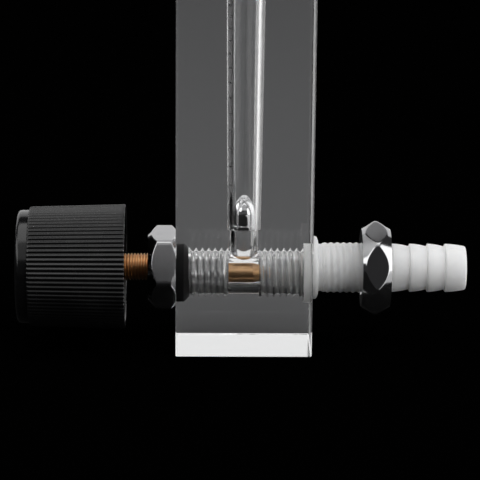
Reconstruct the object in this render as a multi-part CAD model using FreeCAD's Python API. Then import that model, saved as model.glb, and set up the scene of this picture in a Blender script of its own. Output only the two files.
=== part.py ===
import FreeCAD
import Part

import math
import os

from FreeCAD import Vector

# Gas flowmeter for a panel. A clear acrylic block holds a tapered metering bore with a steel
# float. Gas enters through the lower hose barb at the back, passes a needle valve that the
# front knob sets, lifts the float, and leaves through the upper hose barb.
#
# Frame: millimetres, origin at the centre of the block's bottom face, +Z up the metering
# bore, -X towards the knob, +X towards the hose barbs.

# Acrylic block
block_depth = 32.0
block_width = 27.0
block_height = 120.0
block_edge = 0.3
port_height = 18.0
outlet_below_top = 18.0

# Thread shared by the ports, the valve bushing, the plug and both hose fittings
thread_major = 12.0
thread_depth = 0.8
thread_pitch = 1.5
thread_crest = 0.25
neck_thread_depth = 0.3

# Counterbores round the threaded holes
counterbore_radius = 7.1
counterbore_depth = 2.0
valve_counterbore_depth = 1.85

# Passages inside the block
chamber_radius = 5.2
chamber_front = -3.6
chamber_back = 3.6
riser_radius = 3.5
ledge_height = 28.9
bore_bottom_radius = 4.12
bore_top_radius = 4.9
outlet_passage_radius = 3.5
outlet_thread_end = 5.8
plug_thread_depth = 12.0

# Clearances between pieces
static_gap = 0.05
running_gap = 0.05
face_gap = 0.05

# Float
float_radius = 3.95
float_side = 3.3
float_dome = 3.65
float_flat_radius = 1.25
float_flat_step = 0.35
float_nose_radius = 3.2
float_nose_tip_radius = 1.5
float_nose_length = 1.5

# Valve bushing
bushing_flats = 17.5
bushing_head = 6.6
bushing_front_face_radius = 7.8
bushing_back_face_radius = 8.9
bushing_turn = 22.0
bushing_neck_radius = 4.6
bushing_lead_in = 0.6

# Valve stem
stem_thread_radius = 3.25
stem_body_radius = 3.5
stem_open_travel = 2.25
stem_body_end = 2.2
stem_shoulder_end = 3.3
stem_shoulder_radius = 3.1
needle_tip = 8.3
needle_tip_radius = 1.2
stem_spigot_radius = 2.9
stem_spigot_flat = 2.2
stem_groove_front = -11.9
stem_groove_pitch = 3.6
stem_groove_width = 1.6

# Rubber rings
valve_ring_section = 2.4
stem_ring_section = 1.3
plug_ring_section = 1.9

# Valve seat
seat_set_back = 3.0
seat_thickness = 1.3
seat_orifice_radius = 2.05
seat_lead_in = 0.3

# Knob
knob_back = -28.0
knob_length = 22.7
knob_ribs = 82
knob_front_radius = 14.15
knob_back_radius = 14.8
knob_rib_height = 0.55
knob_rib_crest = 0.34
knob_rib_root = 0.24
knob_rib_run_in = 0.8
knob_wall = 1.7
knob_web = 2.0
knob_recess_depth = 2.5
knob_recess_radius = 11.0
knob_hub_radius = 6.0
knob_hub_set_back = 3.0
knob_stiffeners = 6
knob_stiffener_width = 1.2
knob_stiffener_set_back = 5.0

# Knob cap
cap_radius = 13.43
cap_band = 2.8
cap_edge = 1.0
cap_dish_depth = 0.5
cap_dish_radius = 10.5
cap_spigot_length = 1.8
cap_spigot_wall = 1.4

# Knob screw
screw_radius = 1.5
screw_length = 8.0
screw_head_radius = 2.75
screw_head_height = 1.6
screw_slot_width = 0.7
screw_slot_depth = 0.8

# Hose fittings
flange_radius = 7.5
flange_rim = 1.3
flange_thickness = 1.7
flange_land_radius = 6.5
neck_start = 1.2
neck_length = 19.0
fitting_neck_radius = 5.1
barb_crest_radius = 5.75
barb_low_radius = 5.15
barb_length = 4.2
barb_step = 0.35
barb_count = 4
barb_tip_length = 5.2
barb_tip_edge = 0.5
hose_bore_radius = 3.75
hose_bore_end = 12.0
nose_bore_radius = 3.3

# Panel nuts
nut_flats = 19.5
nut_thickness = 6.8
nut_face_radius = 9.3
nut_turn = 16.5
nut_set_back = 12.0

# Top plug
plug_head_radius = 8.0
plug_head_height = 2.6
plug_head_edge = 0.6
plug_neck_radius = 4.9
plug_slot_width = 1.8
plug_slot_depth = 1.5
plug_thread_length = 7.5

# Float stop
stop_radius = 1.2
stop_pad_radius = 2.4
stop_pad_height = 1.0
stop_below_outlet = 2.5
stop_grip = 4.0

# Places that follow from the sizes above
front_face = -block_depth / 2
back_face = block_depth / 2
outlet_height = block_height - outlet_below_top
plug_thread_start = block_height - plug_thread_depth
stop_height = outlet_height - outlet_passage_radius - stop_below_outlet
thread_radius = thread_major / 2
screwed_radius = thread_radius - static_gap
bushing_front = front_face - bushing_head
bushing_end = chamber_front - static_gap
bushing_bore_radius = stem_body_radius + running_gap
stem_body_start = front_face + 1.1
bushing_shoulder = stem_body_start - stem_open_travel - face_gap
knob_front = knob_back - knob_length
cap_front = knob_front - cap_band
web_front = knob_front + knob_recess_depth
web_back = web_front + knob_web
hub_end = knob_back - knob_hub_set_back
seat_front = chamber_back + seat_set_back
seat_back = seat_front + seat_thickness
nut_front = back_face + nut_set_back


def turned(axis, start, *steps):
    """Solid of revolution. Each point is (place along the axis, radius). A step is the next
    point of a straight run, or a pair (point on the way, end point) for an arc."""

    def at(point):
        along, radius = point
        return Vector(along, 0, radius) if axis == "x" else Vector(radius, 0, along)

    edges = []
    here = start
    for step in (*steps, start):
        if isinstance(step[0], tuple):
            edges.append(Part.Arc(at(here), at(step[0]), at(step[1])).toShape())
            here = step[1]
        elif at(step).distanceToPoint(at(here)) > 1e-7:
            edges.append(Part.LineSegment(at(here), at(step)).toShape())
            here = step
    direction = Vector(1, 0, 0) if axis == "x" else Vector(0, 0, 1)
    return Part.Face(Part.Wire(edges)).revolve(Vector(), direction, 360)


def tube(axis, near, far, radius, bore=0.0):
    """Plain cylinder between two places on an axis, with a bore if one is given."""
    return turned(axis, (near, bore), (near, radius), (far, radius), (far, bore))


def raised(shape, height):
    """The same shape on an axis at that height."""
    shape.translate(Vector(0, 0, height))
    return shape


def thread_turns(start, end, major, depth, pitch, crest):
    """Outline of the thread's turns as rings, from start to end: points (place, radius)."""
    turns = int((end - start) / pitch + 1e-6)
    root = major - depth
    points = [(start, root)]
    for turn in range(turns):
        middle = start + (turn + 0.5) * pitch
        points += [(middle - crest / 2, major), (middle + crest / 2, major)]
        points.append((start + (turn + 1) * pitch, root))
    return points


def hexagon(across_flats, near, far, turn):
    """Hexagonal prism along X, with one flat turned up from -Y by that many degrees."""
    corner_radius = across_flats / math.sqrt(3)
    corners = []
    for number in range(7):
        angle = math.radians(turn + 30 + 60 * number)
        corners.append(
            Vector(near, -corner_radius * math.cos(angle), corner_radius * math.sin(angle))
        )
    return Part.Face(Part.makePolygon(corners)).extrude(Vector(far - near, 0, 0))


def rubber_ring(axis, place, inner_radius, section):
    """Round-section ring that grips that radius."""
    direction = Vector(1, 0, 0) if axis == "x" else Vector(0, 0, 1)
    centre = direction * place
    return Part.makeTorus(inner_radius + section / 2, section / 2, centre, direction)


def threaded_port(height):
    """Threaded hole from the back with its counterbore, as a cutter."""
    counterbore = tube("x", back_face - counterbore_depth, back_face + 1, counterbore_radius)
    return raised(counterbore, height)


def meter_block():
    """Acrylic block: lower port through from front to back, riser, ledge, tapered bore,
    upper port from the back and a threaded hole for the plug."""
    block = Part.makeBox(
        block_depth, block_width, block_height, Vector(front_face, -block_width / 2, 0)
    )
    block = block.makeChamfer(block_edge, block.Edges)
    cone_start = front_face + valve_counterbore_depth
    cone_end = cone_start + counterbore_radius - thread_radius
    lower_port = turned(
        "x",
        (front_face - 1, 0),
        (front_face - 1, counterbore_radius),
        (cone_start, counterbore_radius),
        (cone_end, thread_radius),
        (chamber_front, thread_radius),
        (chamber_front, chamber_radius),
        (chamber_back, chamber_radius),
        (chamber_back, thread_radius),
        (back_face, thread_radius),
        (back_face, 0),
    )
    upper_port = turned(
        "x",
        (0, 0),
        (0, outlet_passage_radius),
        (outlet_thread_end, outlet_passage_radius),
        (outlet_thread_end, thread_radius),
        (back_face, thread_radius),
        (back_face, 0),
    )
    metering_bore = turned(
        "z",
        (port_height, 0),
        (port_height, riser_radius),
        (ledge_height, riser_radius),
        (ledge_height, bore_bottom_radius),
        (plug_thread_start, bore_top_radius),
        (plug_thread_start, thread_radius),
        (block_height - counterbore_depth, thread_radius),
        (block_height - counterbore_depth, counterbore_radius),
        (block_height + 1, counterbore_radius),
        (block_height + 1, 0),
    )
    cutters = [raised(lower_port, port_height), raised(upper_port, outlet_height)]
    cutters += [threaded_port(port_height), threaded_port(outlet_height), metering_bore]
    for cutter in cutters:
        block = block.cut(cutter)
    return block


def steel_float():
    """Float: a short nose in the riser, a straight side, an elliptic dome and a small flat."""
    seat = ledge_height + face_gap
    side_top = seat + float_side
    dome_top = side_top + float_dome
    dome = Part.makeSphere(float_radius)
    stretch = FreeCAD.Matrix()
    stretch.scale(1, 1, float_dome / float_radius)
    dome = dome.transformGeometry(stretch)
    dome.translate(Vector(0, 0, side_top))
    upper_half = Part.makeCylinder(
        float_radius + 1, float_dome + 1, Vector(0, 0, side_top)
    )
    body = turned(
        "z",
        (seat - float_nose_length, 0),
        (seat - float_nose_length, float_nose_tip_radius),
        (seat, float_nose_radius),
        (seat, float_radius),
        (side_top, float_radius),
        (side_top, 0),
    )
    flat = tube("z", dome_top - float_flat_step, dome_top + float_flat_step, float_flat_radius)
    return body.fuse(dome.common(upper_half)).fuse(flat).removeSplitter()


def chamfered_head(across_flats, near, far, near_radius, far_radius, turn):
    """Hexagon along X with 45 degree turned chamfers down to the two face radii."""
    corner_radius = across_flats / math.sqrt(3)
    envelope = turned(
        "x",
        (near, 0),
        (near, near_radius),
        (near + corner_radius - near_radius, corner_radius),
        (far - corner_radius + far_radius, corner_radius),
        (far, far_radius),
        (far, 0),
    )
    return hexagon(across_flats, near, far, turn).common(envelope)


def valve_bushing():
    """Chromed brass bushing: hexagon head, seal neck, threaded shank, stem bore."""
    head = chamfered_head(
        bushing_flats,
        bushing_front,
        front_face,
        bushing_front_face_radius,
        bushing_back_face_radius,
        bushing_turn,
    )
    shank_start = front_face + valve_counterbore_depth + counterbore_radius - thread_radius
    turns = thread_turns(
        shank_start,
        bushing_end - bushing_lead_in,
        screwed_radius,
        thread_depth,
        thread_pitch,
        thread_crest,
    )
    shank = turned(
        "x",
        (front_face - 1, 0),
        (front_face - 1, bushing_neck_radius),
        (shank_start, bushing_neck_radius),
        *turns,
        (bushing_end, screwed_radius - thread_depth),
        (bushing_end, 0),
    )
    thread_bore = stem_thread_radius + running_gap
    bore = turned(
        "x",
        (bushing_front - 1, 0),
        (bushing_front - 1, thread_bore + bushing_lead_in),
        (bushing_front, thread_bore + bushing_lead_in),
        (bushing_front + bushing_lead_in, thread_bore),
        (bushing_shoulder, thread_bore),
        (bushing_shoulder, bushing_bore_radius),
        (bushing_end + 1, bushing_bore_radius),
        (bushing_end + 1, 0),
    )
    return raised(head.fuse(shank).cut(bore), port_height)


def stem_groove(number):
    """Front and back places of one seal groove on the stem."""
    front = stem_groove_front + number * stem_groove_pitch
    return front, front + stem_groove_width


def valve_stem():
    """Brass stem: flatted spigot for the knob, fine thread, body with two seal grooves, cone."""
    groove_radius = bushing_bore_radius - stem_ring_section - running_gap
    grooves = []
    for number in range(2):
        near, far = stem_groove(number)
        grooves += [
            (near, stem_body_radius),
            (near, groove_radius),
            (far, groove_radius),
            (far, stem_body_radius),
        ]
    screw_hole_end = web_back + screw_length - knob_web + 1
    stem = turned(
        "x",
        (web_back, screw_radius),
        (web_back, stem_spigot_radius),
        (hub_end, stem_spigot_radius),
        (hub_end, stem_thread_radius),
        (stem_body_start, stem_thread_radius),
        (stem_body_start, stem_body_radius),
        *grooves,
        (stem_body_end, stem_body_radius),
        (stem_shoulder_end, stem_shoulder_radius),
        (needle_tip, needle_tip_radius),
        (needle_tip, 0),
        (screw_hole_end, 0),
        (screw_hole_end, screw_radius),
    )
    return raised(stem.cut(spigot_flat(stem_spigot_flat)), port_height)


def spigot_flat(distance):
    """Space beyond the flat of the stem's spigot, that far from the axis."""
    width = 2 * knob_hub_radius
    return Part.makeBox(
        hub_end - web_back, width, width, Vector(web_back, -width / 2, distance)
    )


def stem_seal(number):
    """Rubber ring in one of the stem's grooves."""
    near, far = stem_groove(number)
    inner_radius = bushing_bore_radius - stem_ring_section - running_gap / 2
    ring = rubber_ring("x", (near + far) / 2, inner_radius, stem_ring_section)
    return raised(ring, port_height)


def bushing_seal():
    """Black rubber ring in the front counterbore, under the bushing's head."""
    place = front_face + valve_ring_section / 2 + face_gap
    ring = rubber_ring("x", place, bushing_neck_radius + face_gap, valve_ring_section)
    return raised(ring, port_height)


def valve_seat():
    """Seat washer on the end of the inlet fitting's nose, inside the port's thread."""
    outer_radius = screwed_radius - thread_depth - static_gap
    washer = turned(
        "x",
        (seat_front, seat_orifice_radius + seat_lead_in),
        (seat_front, outer_radius),
        (seat_back, outer_radius),
        (seat_back, seat_orifice_radius),
        (seat_front + seat_lead_in, seat_orifice_radius),
    )
    return raised(washer, port_height)


def ribbed_outline(place, outer_radius):
    """Closed outline of the knob's grip in the plane at that place on X."""
    pitch = 2 * math.pi / knob_ribs
    root_radius = outer_radius - knob_rib_height
    corners = []
    for rib in range(knob_ribs):
        middle = rib * pitch
        for share, radius in (
            (knob_rib_root / 2 - 0.5, root_radius),
            (-knob_rib_crest / 2, outer_radius),
            (knob_rib_crest / 2, outer_radius),
            (0.5 - knob_rib_root / 2, root_radius),
        ):
            angle = middle + share * pitch
            corners.append(Vector(place, radius * math.cos(angle), radius * math.sin(angle)))
    return Part.makePolygon([*corners, corners[0]])


def knob():
    """Moulded knob: ribbed tapering skirt, web, hub with a flatted bore, stiffeners, recess."""
    grip = Part.makeLoft(
        [
            ribbed_outline(knob_front, knob_front_radius),
            ribbed_outline(knob_back, knob_back_radius),
        ],
        True,
        True,
    )
    root_front = knob_front_radius - knob_rib_height
    envelope = turned(
        "x",
        (knob_front, 0),
        (knob_front, root_front),
        (knob_front + knob_rib_run_in, knob_front_radius + 0.1),
        (knob_back, knob_back_radius + 0.1),
        (knob_back, 0),
    )
    grip = grip.common(envelope)
    hollow_front = knob_front_radius - knob_rib_height - knob_wall
    hollow_back = knob_back_radius - knob_rib_height - knob_wall
    hollow = turned(
        "x",
        (web_back, 0),
        (web_back, hollow_front),
        (knob_back, hollow_back),
        (knob_back, 0),
    )
    hub = tube("x", web_back, hub_end, knob_hub_radius)
    stiffener_end = knob_back - knob_stiffener_set_back
    kept = [hub]
    for number in range(knob_stiffeners):
        stiffener = Part.makeBox(
            stiffener_end - web_back,
            knob_stiffener_width,
            hollow_back,
            Vector(web_back, -knob_stiffener_width / 2, 0),
        )
        turn = 360.0 * number / knob_stiffeners
        stiffener.rotate(Vector(), Vector(1, 0, 0), turn)
        kept.append(stiffener.common(hollow))
    body = grip.cut(hollow)
    for piece in kept:
        body = body.fuse(piece)
    body = body.cut(tube("x", knob_front - 1, web_front, knob_recess_radius))
    stem_hole = tube("x", web_back, hub_end + 1, stem_spigot_radius + face_gap)
    stem_hole = stem_hole.cut(spigot_flat(stem_spigot_flat + face_gap))
    screw_hole = tube("x", web_front - 1, web_back + 1, screw_radius + static_gap)
    return raised(body.cut(stem_hole).cut(screw_hole), port_height)


def knob_cap():
    """Smooth cap at the front of the knob: rounded rim, shallow dish, spigot in the recess."""
    spigot_radius = knob_recess_radius - face_gap
    spigot_end = knob_front + cap_spigot_length
    inner_radius = spigot_radius - cap_spigot_wall
    roof = knob_front - cap_band / 2
    corner = cap_edge * (1 - math.sqrt(0.5))
    cap = turned(
        "x",
        (cap_front + cap_dish_depth, 0),
        (cap_front + cap_dish_depth, cap_dish_radius - cap_dish_depth),
        (cap_front, cap_dish_radius),
        (cap_front, cap_radius - cap_edge),
        ((cap_front + corner, cap_radius - corner), (cap_front + cap_edge, cap_radius)),
        (knob_front, cap_radius),
        (knob_front, spigot_radius),
        (spigot_end, spigot_radius),
        (spigot_end, inner_radius),
        (roof, inner_radius),
        (roof, 0),
    )
    return raised(cap, port_height)


def knob_screw():
    """Slotted screw that holds the knob on the stem."""
    head_front = web_front - screw_head_height
    screw = turned(
        "x",
        (head_front, 0),
        (head_front, screw_head_radius - screw_head_height / 3),
        (head_front + screw_head_height / 3, screw_head_radius),
        (web_front, screw_head_radius),
        (web_front, screw_radius - static_gap),
        (web_front + screw_length, screw_radius - static_gap),
        (web_front + screw_length, 0),
    )
    slot = Part.makeBox(
        screw_slot_depth + 1,
        screw_slot_width,
        3 * screw_head_radius,
        Vector(head_front - 1, -screw_slot_width / 2, -1.5 * screw_head_radius),
    )
    return raised(screw.cut(slot), port_height)


def barb_outline(start):
    """Outline of the hose barbs from the neck to the tip: each rises in a step and falls
    away in a gentle arc towards the tip."""
    steps = []
    place = start
    drop = barb_crest_radius - barb_low_radius
    for number in range(barb_count):
        last = number == barb_count - 1
        length = barb_tip_length if last else barb_length
        crest = place + barb_step
        end = place + length
        steps.append((crest, barb_crest_radius))
        middle = (crest + end) / 2
        sag = barb_crest_radius - drop / 3.2
        if last:
            edge = end - barb_tip_edge
            rim = barb_low_radius - barb_tip_edge
            corner = barb_tip_edge * (1 - math.sqrt(0.5))
            steps.append(((middle, sag), (edge, barb_low_radius)))
            steps.append(((end - corner, barb_low_radius - corner), (end, rim)))
        else:
            steps.append(((middle, sag), (end, barb_low_radius)))
        place = end
    return steps, place


def hose_fitting(nose, height):
    """Moulded fitting: threaded nose, seal neck, flange, panel thread, barbs, through bore."""
    root = screwed_radius - thread_depth
    nose_turns = thread_turns(
        nose + static_gap,
        back_face - counterbore_depth,
        screwed_radius,
        thread_depth,
        thread_pitch,
        thread_crest,
    )
    flange_end = back_face + flange_thickness
    panel_thread_start = flange_end + neck_start
    neck_end = back_face + neck_length
    panel_turns = thread_turns(
        panel_thread_start,
        neck_end,
        thread_radius,
        neck_thread_depth,
        thread_pitch,
        thread_pitch / 3,
    )
    barbs, tip = barb_outline(neck_end)
    fitting = turned(
        "x",
        (nose + static_gap, nose_bore_radius),
        *nose_turns,
        (back_face - counterbore_depth, root),
        (back_face - counterbore_depth, fitting_neck_radius),
        (back_face, fitting_neck_radius),
        (back_face, flange_radius),
        (back_face + flange_rim, flange_radius),
        (flange_end, flange_land_radius),
        (flange_end, thread_radius),
        (panel_thread_start - neck_thread_depth, thread_radius),
        *panel_turns,
        (neck_end, barb_low_radius),
        *barbs,
        (tip, hose_bore_radius),
        (hose_bore_end, hose_bore_radius),
        (hose_bore_end, nose_bore_radius),
    )
    return raised(fitting, height)


def port_seal(height):
    """Flat gasket that fills a back counterbore between the block and the fitting's neck."""
    near = back_face - counterbore_depth
    gasket = tube(
        "x",
        near,
        back_face,
        counterbore_radius - static_gap,
        fitting_neck_radius + static_gap,
    )
    return raised(gasket, height)


def panel_nut(height):
    """Hexagon nut with two turned cones that meet at its corners, so that each flat is an oval."""
    far = nut_front + nut_thickness
    corner_radius = nut_flats / math.sqrt(3)
    envelope = turned(
        "x",
        (nut_front, 0),
        (nut_front, nut_face_radius),
        (nut_front + nut_thickness / 2, corner_radius),
        (far, nut_face_radius),
        (far, 0),
    )
    bore = tube("x", nut_front - 1, far + 1, thread_radius + running_gap)
    nut = hexagon(nut_flats, nut_front, far, nut_turn).common(envelope).cut(bore)
    return raised(nut, height)


def top_plug():
    """Nylon plug: slotted head on the block, seal neck, threaded shank, hole for the stop."""
    root = screwed_radius - thread_depth
    shank_top = block_height - counterbore_depth
    shank_end = shank_top - plug_thread_length
    turns = thread_turns(
        shank_end, shank_top, screwed_radius, thread_depth, thread_pitch, thread_crest
    )
    head_top = block_height + plug_head_height
    stop_hole = stop_radius + static_gap
    plug = turned(
        "z",
        (shank_end, stop_hole),
        *turns,
        (shank_top, root),
        (shank_top, plug_neck_radius),
        (block_height, plug_neck_radius),
        (block_height, plug_head_radius),
        (head_top - plug_head_edge, plug_head_radius),
        (head_top, plug_head_radius - plug_head_edge),
        (head_top, 0),
        (shank_end + stop_grip, 0),
        (shank_end + stop_grip, stop_hole),
    )
    slot = Part.makeBox(
        3 * plug_head_radius,
        plug_slot_width,
        plug_slot_depth + 1,
        Vector(-1.5 * plug_head_radius, -plug_slot_width / 2, head_top - plug_slot_depth),
    )
    return plug.cut(slot)


def plug_seal():
    """Rubber ring in the top counterbore, under the plug's head."""
    place = block_height - counterbore_depth / 2
    return rubber_ring("z", place, plug_neck_radius + face_gap, plug_ring_section)


def float_stop():
    """Pin in the plug's end with a pad that the float meets at full flow."""
    pin_top = block_height - counterbore_depth - plug_thread_length + stop_grip
    pad_top = stop_height + stop_pad_height
    return turned(
        "z",
        (stop_height, 0),
        (stop_height, stop_pad_radius),
        (pad_top, stop_pad_radius),
        (pad_top, stop_radius),
        (pin_top, stop_radius),
        (pin_top, 0),
    )


def pieces():
    """Every node's name with its solid."""
    return {
        "meter_block": meter_block(),
        "steel_float": steel_float(),
        "float_stop": float_stop(),
        "top_plug": top_plug(),
        "plug_seal": plug_seal(),
        "valve_bushing": valve_bushing(),
        "bushing_seal": bushing_seal(),
        "valve_stem": valve_stem(),
        "stem_seal_front": stem_seal(0),
        "stem_seal_back": stem_seal(1),
        "valve_seat": valve_seat(),
        "knob": knob(),
        "knob_cap": knob_cap(),
        "knob_screw": knob_screw(),
        "inlet_fitting": hose_fitting(seat_back, port_height),
        "inlet_seal": port_seal(port_height),
        "inlet_nut": panel_nut(port_height),
        "outlet_fitting": hose_fitting(outlet_thread_end, outlet_height),
        "outlet_seal": port_seal(outlet_height),
        "outlet_nut": panel_nut(outlet_height),
    }


def main():
    os.makedirs("parts", exist_ok=True)
    for name, solid in pieces().items():
        solid.exportStep(f"parts/{name}.step")
        print(f"{name}: {solid.Volume:.1f} mm3, {len(solid.Solids)} solid, valid {solid.isValid()}")


main()
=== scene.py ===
import math

import bmesh
import bpy
import numpy as np
from mathutils import Matrix, Vector


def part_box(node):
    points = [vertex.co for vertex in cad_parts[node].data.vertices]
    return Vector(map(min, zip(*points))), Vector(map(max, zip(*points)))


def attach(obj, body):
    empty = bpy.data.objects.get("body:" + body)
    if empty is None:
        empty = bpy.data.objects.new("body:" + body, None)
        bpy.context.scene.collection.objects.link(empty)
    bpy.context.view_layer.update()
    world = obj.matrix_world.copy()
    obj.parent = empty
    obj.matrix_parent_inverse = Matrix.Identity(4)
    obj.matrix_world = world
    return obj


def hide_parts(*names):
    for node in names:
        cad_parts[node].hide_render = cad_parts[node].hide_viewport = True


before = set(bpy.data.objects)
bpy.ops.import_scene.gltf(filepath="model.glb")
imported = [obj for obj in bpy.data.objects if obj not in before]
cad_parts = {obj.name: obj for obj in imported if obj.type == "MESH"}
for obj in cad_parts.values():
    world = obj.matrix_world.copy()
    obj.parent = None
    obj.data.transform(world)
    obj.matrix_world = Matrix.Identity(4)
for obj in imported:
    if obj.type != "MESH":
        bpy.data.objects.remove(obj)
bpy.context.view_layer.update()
print("stage: frame loaded")

mm = 0.001
fullTurn = 2 * math.pi
smoothAngle = math.radians(28)
fineRound = 0.1  # rounding of the turned pieces' plain edges


def nodeBox(node):
    # lowest and highest corner of a node at rest, in millimetres
    low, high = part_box(node)
    return np.array(low) / mm, np.array(high) / mm


blockLow, blockHigh = nodeBox("meter_block")
inletLow, inletHigh = nodeBox("inlet_fitting")
outletLow, outletHigh = nodeBox("outlet_fitting")
portHeight = (inletLow[2] + inletHigh[2]) / 2
outletHeight = (outletLow[2] + outletHigh[2]) / 2
frontFace = blockLow[0]
backFace = blockHigh[0]
blockTop = blockHigh[2]


# Mesh makers

mergeDistance = 2e-7  # in metres, like the next
sliverLength = 1e-7
longestCut = 0.48  # share of a profile's side that one rounding may take
straightest = 0.9999  # cosine past which a corner counts as straight or folded back
roundedSteps = 10  # rows to a pitch of a rounded thread
spareTurns = 2  # turns of a helix past both ends, which are held back to them
topTurn = 0.25  # share of a turn from a sheet's first column to the top


def cornerArc(corner, before, after, size, steps=5):
    # arc that starts and ends at size / tan(half the corner's angle) from the corner, and no
    # further than its shorter side allows. Point = centre + (start * sin(what is left of the
    # sweep) + end * sin(what is done of it)) / sin(sweep)
    toBefore, toAfter = before - corner, after - corner
    reach = min(np.linalg.norm(toBefore), np.linalg.norm(toAfter)) * longestCut
    toBefore = toBefore / np.linalg.norm(toBefore)
    toAfter = toAfter / np.linalg.norm(toAfter)
    half = math.acos(np.clip(toBefore @ toAfter, -straightest, straightest)) / 2
    cut = min(size / math.tan(half), reach)
    inward = (toBefore + toAfter) / np.linalg.norm(toBefore + toAfter)
    centre = corner + inward * (cut * math.tan(half) / math.sin(half))
    start = corner + toBefore * cut - centre
    end = corner + toAfter * cut - centre
    sweep = math.pi - 2 * half
    share = np.linspace(0, 1, steps + 1)[:, None]
    return centre + (start * np.sin((1 - share) * sweep) + end * np.sin(share * sweep)) / math.sin(sweep)


def roundedProfile(corners, closed):
    # corners are (along, radius) or (along, radius, size of the rounding)
    places = np.array([corner[:2] for corner in corners], float)
    path = []
    for number, corner in enumerate(corners):
        atEnd = not closed and number in (0, len(corners) - 1)
        if atEnd or len(corner) == 2:
            path.append(places[number])
        else:
            following = places[(number + 1) % len(corners)]
            path.extend(cornerArc(places[number], places[number - 1], following, corner[2]))
    return np.array(path)


def arcPath(start, middle, end, steps):
    # parabola through three points of a profile: start, the point halfway, end
    share = np.linspace(0, 1, steps + 1)[:, None]
    start, middle, end = (np.array(point, float) for point in (start, middle, end))
    handle = 2 * middle - (start + end) / 2
    curve = (1 - share) ** 2 * start + 2 * share * (1 - share) * handle + share**2 * end
    return [tuple(point) for point in curve]


def smoothStep(value, low, high):
    # 0 below low, 1 above high, and 3 s^2 - 2 s^3 of the share between them
    share = np.clip((value - low) / (high - low), 0, 1)
    return share * share * (3 - 2 * share)


def turnAngles(around):
    # even steps of a full turn, as one row
    return np.linspace(0, fullTurn, around + 1)[None, :]


def turnedSheet(along, radius, axis, height, around):
    # point = along the axis by "along", and away from it by "radius" at an even step of angle
    angle = turnAngles(around)
    along, radius = np.broadcast_arrays(along + 0 * angle, radius + 0 * angle)
    first = radius * np.cos(angle)
    second = radius * np.sin(angle)
    if axis == "x":
        return np.stack([along, first, second + height], axis=-1) * mm
    return np.stack([first, second, along], axis=-1) * mm


def makeThread(start, end, radius, depth, pitch, crest, rest=0.0, runOut=0.4, flat=0.1, rounded=False):
    # start and end along the axis, radius of the crests, and a crest's place at the top. "rest"
    # is the share of the depth at which both ends run out, "flat" the share of the pitch that is
    # cut off the crests and roots
    if rounded:
        phases = np.arange(roundedSteps) / roundedSteps
        depths = (1 - np.cos(phases * fullTurn)) / 2
    else:
        phases = np.array([-flat / 2, flat / 2, 0.5 - flat / 2, 0.5 + flat / 2])
        depths = np.array([0.0, 0.0, 1.0, 1.0])
    return {
        "start": start,
        "end": end,
        "radius": radius,
        "depth": depth,
        "pitch": pitch,
        "crest": crest,
        "rest": rest,
        "runOut": runOut,
        "phases": phases,
        "depths": depths,
    }


def threadEnds(thread):
    # the two corners of a profile between which the thread lies
    radius = thread["radius"] - thread["depth"] * thread["rest"]
    return [(thread["start"], radius), (thread["end"], radius)]


def threadSheet(thread, axis, height, around):
    # rows follow the helix: place = crest + pitch * (turn + phase), held between both ends, and
    # radius = crest radius - depth at that phase, which fades to "rest" over the run-out
    turn = turnAngles(around) / fullTurn - topTurn
    pitch = thread["pitch"]
    first = math.floor((thread["start"] - thread["crest"]) / pitch) - spareTurns
    last = math.ceil((thread["end"] - thread["crest"]) / pitch) + spareTurns
    count = np.arange(first, last + 1)
    phase = (count[:, None] + thread["phases"][None, :]).reshape(-1, 1)
    depth = np.tile(thread["depths"], len(count)).reshape(-1, 1)
    place = np.clip(thread["crest"] + pitch * (phase + turn), thread["start"], thread["end"])
    fade = smoothStep(place, thread["start"], thread["start"] + thread["runOut"])
    fade = fade * smoothStep(-place, -thread["end"], -thread["end"] + thread["runOut"])
    share = thread["rest"] + (depth - thread["rest"]) * fade
    radius = thread["radius"] - thread["depth"] * share
    return turnedSheet(place, radius, axis, height, around)


def addObject(name, data):
    piece = bpy.data.objects.new(name, data)
    bpy.context.scene.collection.objects.link(piece)
    return piece


def shadeSmooth(mesh, angle=smoothAngle):
    mesh.shade_smooth()
    mesh.set_sharp_from_angle(angle=angle)


def finishedMesh(piece):
    # the piece's mesh as its modifiers or its text make it
    bpy.context.view_layer.update()
    return bpy.data.meshes.new_from_object(
        piece.evaluated_get(bpy.context.evaluated_depsgraph_get())
    )


def makeMesh(name, sheets, materials, angle=smoothAngle):
    # each sheet is a grid of points, joined to the others wherever their points meet
    points = []
    quads = []
    total = 0
    for sheet in sheets:
        rows, columns, _ = sheet.shape
        index = np.arange(rows * columns).reshape(rows, columns) + total
        quads.append(
            np.stack([index[:-1, :-1], index[:-1, 1:], index[1:, 1:], index[1:, :-1]], axis=-1)
            .reshape(-1, 4)
        )
        points.append(sheet.reshape(-1, 3))
        total += rows * columns
    quads = np.vstack(quads).astype(np.int32)
    mesh = bpy.data.meshes.new(name)
    mesh.vertices.add(total)
    mesh.vertices.foreach_set("co", np.vstack(points).reshape(-1).astype(np.float32))
    mesh.loops.add(quads.size)
    mesh.loops.foreach_set("vertex_index", quads.reshape(-1))
    mesh.polygons.add(len(quads))
    mesh.polygons.foreach_set("loop_start", np.arange(0, quads.size, 4, dtype=np.int32))
    for material in materials:
        mesh.materials.append(material)
    mesh.update(calc_edges=True)
    return cleanMesh(name, mesh, angle)


def cleanMesh(name, mesh, angle=smoothAngle):
    # doubles at poles and seams are merged, faces turned outwards and shading split at edges
    work = bmesh.new()
    work.from_mesh(mesh)
    bmesh.ops.remove_doubles(work, verts=work.verts, dist=mergeDistance)
    bmesh.ops.dissolve_degenerate(work, edges=work.edges, dist=sliverLength)
    bmesh.ops.recalc_face_normals(work, faces=work.faces)
    work.to_mesh(mesh)
    work.free()
    shadeSmooth(mesh, angle)
    return addObject(name, mesh)


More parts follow.
